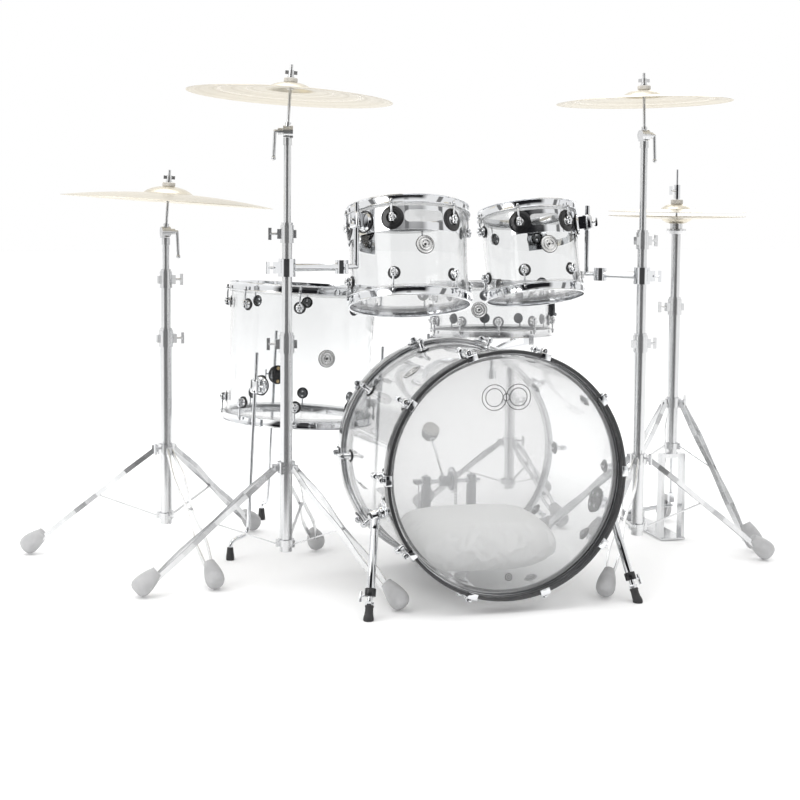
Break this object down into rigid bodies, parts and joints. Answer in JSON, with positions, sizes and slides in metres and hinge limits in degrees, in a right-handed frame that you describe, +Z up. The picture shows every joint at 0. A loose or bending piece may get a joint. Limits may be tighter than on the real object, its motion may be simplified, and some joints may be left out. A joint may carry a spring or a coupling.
{
  "type": "drum kit",
  "caption": "Clear-shell acoustic drum kit: bass drum with pedal, rack toms on cymbal stands, floor tom, snare on its stand, hi-hat and cymbals on tripod stands.",
  "frame": {"origin": "on the floor, under the middle of the whole kit's bounding box", "axes": "+X to the audience's right, +Y from the audience towards the drummer, +Z up"},
  "size_m": [1.9813, 1.2906, 1.298],
  "materials": {
    "clear_shell": "polished clear acrylic",
    "clear_head": "clear film",
    "hoop": "polished lacquer",
    "chrome": "polished",
    "satin_steel": "satin",
    "bronze": "turned and lacquered",
    "black_metal": "satin",
    "rubber": "matt",
    "pillow_cloth": "soft weave"
  },
  "bodies": {
    "kit": {"bass_drum_shell": "clear_shell", "bass_drum_heads": "clear_head", "bass_drum_hoops": "hoop", "bass_drum_fittings": "chrome", "bass_drum_claws": "chrome", "bass_drum_pillow": "pillow_cloth", "kick_pedal_frame": "black_metal", "floor_tom_shell": "clear_shell", "floor_tom_heads": "clear_head", "floor_tom_hoops": "chrome", "floor_tom_lugs": "chrome", "floor_tom_brackets": "chrome", "ride_stand": "satin_steel", "middle_crash_stand": "satin_steel", "right_crash_stand": "satin_steel", "hihat_stand": "satin_steel", "hihat_bottom_cymbal": "bronze", "snare_stand": "satin_steel", "tom_left_arm": "chrome", "tom_right_arm": "chrome", "stand_feet": "rubber"},
    "spur_left": {"spur_tube_left": "chrome"},
    "spur_left_leg": {"spur_leg_left": "chrome"},
    "spur_right": {"spur_tube_right": "chrome"},
    "spur_right_leg": {"spur_leg_right": "chrome"},
    "floor_tom_leg_1": {"floor_tom_leg_1": "chrome"},
    "floor_tom_leg_2": {"floor_tom_leg_2": "chrome"},
    "floor_tom_leg_3": {"floor_tom_leg_3": "chrome"},
    "kick_footboard": {"kick_pedal_footboard": "black_metal"},
    "kick_beater": {"kick_pedal_shaft": "black_metal"},
    "hihat_pedal": {"hihat_footboard": "black_metal"},
    "hihat_pull": {"hihat_rod": "chrome", "hihat_top_cymbal": "bronze"},
    "tom_left": {"tom_left_shell": "clear_shell", "tom_left_heads": "clear_head", "tom_left_hoops": "chrome", "tom_left_lugs": "chrome", "tom_left_mount": "chrome"},
    "tom_right": {"tom_right_shell": "clear_shell", "tom_right_heads": "clear_head", "tom_right_hoops": "chrome", "tom_right_lugs": "chrome", "tom_right_mount": "chrome"},
    "ride_upper": {"ride_upper_tube": "satin_steel"},
    "ride_tilter_head": {"ride_tilter": "satin_steel"},
    "ride_disc": {"ride_cymbal": "bronze"},
    "middle_crash_upper": {"middle_crash_upper_tube": "satin_steel"},
    "middle_crash_tilter_head": {"middle_crash_tilter": "satin_steel"},
    "middle_crash_disc": {"middle_crash_cymbal": "bronze"},
    "right_crash_upper": {"right_crash_upper_tube": "satin_steel"},
    "right_crash_tilter_head": {"right_crash_tilter": "satin_steel"},
    "right_crash_disc": {"right_crash_cymbal": "bronze"},
    "snare_upper": {"snare_upper_tube": "satin_steel"},
    "snare_drum": {"snare_basket": "chrome", "snare_shell": "clear_shell", "snare_heads": "clear_head", "snare_hoops": "chrome", "snare_lugs": "chrome", "snare_strainer": "chrome"},
    "snare_throw_off": {"snare_lever": "chrome"}
  },
  "joints": [
    {"name": "spur_left_fold", "type": "hinge", "parent": "kit", "child": "spur_left", "pos_m": [-0.19999, -0.52906, 0.22393], "axis": [0.9511, 0.0108, 0.3088], "range_deg": [-12, 28]},
    {"name": "spur_left_extend", "type": "slide", "parent": "spur_left", "child": "spur_left_leg", "axis": [-0.1591, -0.3853, -0.909], "range_m": [-0.01, 0.045]},
    {"name": "spur_right_fold", "type": "hinge", "parent": "kit", "child": "spur_right", "pos_m": [0.39233, -0.52906, 0.22393], "axis": [0.9511, -0.0108, -0.3088], "range_deg": [-12, 12]},
    {"name": "spur_right_extend", "type": "slide", "parent": "spur_right", "child": "spur_right_leg", "axis": [0.1591, -0.3853, -0.909], "range_m": [-0.01, 0.045]},
    {"name": "floor_tom_leg_1_height", "type": "slide", "parent": "kit", "child": "floor_tom_leg_1", "axis": [0.0523, 0.0262, 0.9983], "range_m": [-0.06, 0.06]},
    {"name": "floor_tom_leg_2_height", "type": "slide", "parent": "kit", "child": "floor_tom_leg_2", "axis": [0.0523, 0.0262, 0.9983], "range_m": [-0.06, 0.06]},
    {"name": "floor_tom_leg_3_height", "type": "slide", "parent": "kit", "child": "floor_tom_leg_3", "axis": [0.0523, 0.0262, 0.9983], "range_m": [-0.06, 0.06]},
    {"name": "kick_footboard_press", "type": "hinge", "parent": "kit", "child": "kick_footboard", "pos_m": [0.12217, 0.2094, 0.02806], "axis": [1, 0, 0], "range_deg": [0, 7.45], "stiffness_Nm_per_rad": 6, "springref_deg": -2.86},
    {"name": "kick_beater_swing", "type": "hinge", "parent": "kit", "child": "kick_beater", "pos_m": [0.12217, -0.0706, 0.20706], "axis": [1, 0, 0], "range_deg": [0, 66]},
    {"name": "hihat_footboard_press", "type": "hinge", "parent": "kit", "child": "hihat_pedal", "pos_m": [0.80017, 0.2354, 0.02606], "axis": [1, 0, 0], "range_deg": [0, 2.4], "stiffness_Nm_per_rad": 40, "springref_deg": -8.59},
    {"name": "hihat_close", "type": "slide", "parent": "kit", "child": "hihat_pull", "axis": [0, 0, 1], "range_m": [-0.0105, 0]},
    {"name": "tom_left_tilt", "type": "hinge", "parent": "kit", "child": "tom_left", "pos_m": [-0.2197, -0.24594, 0.79606], "axis": [0.9868, 0.162, 0], "range_deg": [-10, 10]},
    {"name": "tom_right_tilt", "type": "hinge", "parent": "kit", "child": "tom_right", "pos_m": [0.50284, -0.1885, 0.77006], "axis": [-0.6825, 0.7309, 0], "range_deg": [-10, 10]},
    {"name": "ride_height", "type": "slide", "parent": "kit", "child": "ride_upper", "axis": [0, 0, 1], "range_m": [-0.035, 0.04]},
    {"name": "ride_tilt", "type": "hinge", "parent": "ride_upper", "child": "ride_tilter_head", "pos_m": [-0.62183, 0.0854, 0.87406], "axis": [0.9848, 0.1736, 0], "range_deg": [-20, 20]},
    {"name": "ride_rock", "type": "hinge", "parent": "ride_tilter_head", "child": "ride_disc", "pos_m": [-0.61409, 0.08666, 0.99381], "axis": [1, 0, 0], "range_deg": [-7, 7], "stiffness_Nm_per_rad": 1.5},
    {"name": "middle_crash_height", "type": "slide", "parent": "kit", "child": "middle_crash_upper", "axis": [0, 0, 1], "range_m": [-0.06, 0.12]},
    {"name": "middle_crash_tilt", "type": "hinge", "parent": "middle_crash_upper", "child": "middle_crash_tilter_head", "pos_m": [-0.36383, -0.2696, 1.13106], "axis": [-0.9848, 0.1736, 0], "range_deg": [-20, 20]},
    {"name": "middle_crash_rock", "type": "hinge", "parent": "middle_crash_tilter_head", "child": "middle_crash_disc", "pos_m": [-0.3563, -0.2675, 1.25081], "axis": [1, 0, 0], "range_deg": [-7, 7], "stiffness_Nm_per_rad": 1.5},
    {"name": "right_crash_height", "type": "slide", "parent": "kit", "child": "right_crash_upper", "axis": [0, 0, 1], "range_m": [-0.1, 0.12]},
    {"name": "right_crash_tilt", "type": "hinge", "parent": "right_crash_upper", "child": "right_crash_tilter_head", "pos_m": [0.58417, -0.2756, 1.13806], "axis": [0.9848, 0.1736, 0], "range_deg": [-20, 20]},
    {"name": "right_crash_rock", "type": "hinge", "parent": "right_crash_tilter_head", "child": "right_crash_disc", "pos_m": [0.5817, -0.27354, 1.25602], "axis": [1, 0, 0], "range_deg": [-7, 7], "stiffness_Nm_per_rad": 1.5},
    {"name": "snare_height", "type": "slide", "parent": "kit", "child": "snare_upper", "axis": [0, 0, 1], "range_m": [-0.065, 0.1]},
    {"name": "snare_tilt", "type": "hinge", "parent": "snare_upper", "child": "snare_drum", "pos_m": [0.46717, 0.4324, 0.47206], "axis": [1, 0, 0], "range_deg": [-20, 20]},
    {"name": "snare_lever_throw", "type": "hinge", "parent": "snare_drum", "child": "snare_throw_off", "pos_m": [0.60567, 0.40549, 0.61223], "axis": [0.2079, 0.9768, -0.0512], "range_deg": [0, 80]}
  ],
  "couplings": [
    {"joint": "kick_beater_swing", "follows": "kick_footboard_press", "ratio": 8.83},
    {"joint": "hihat_close", "follows": "hihat_footboard_press", "m_per_rad": -0.2353}
  ]
}
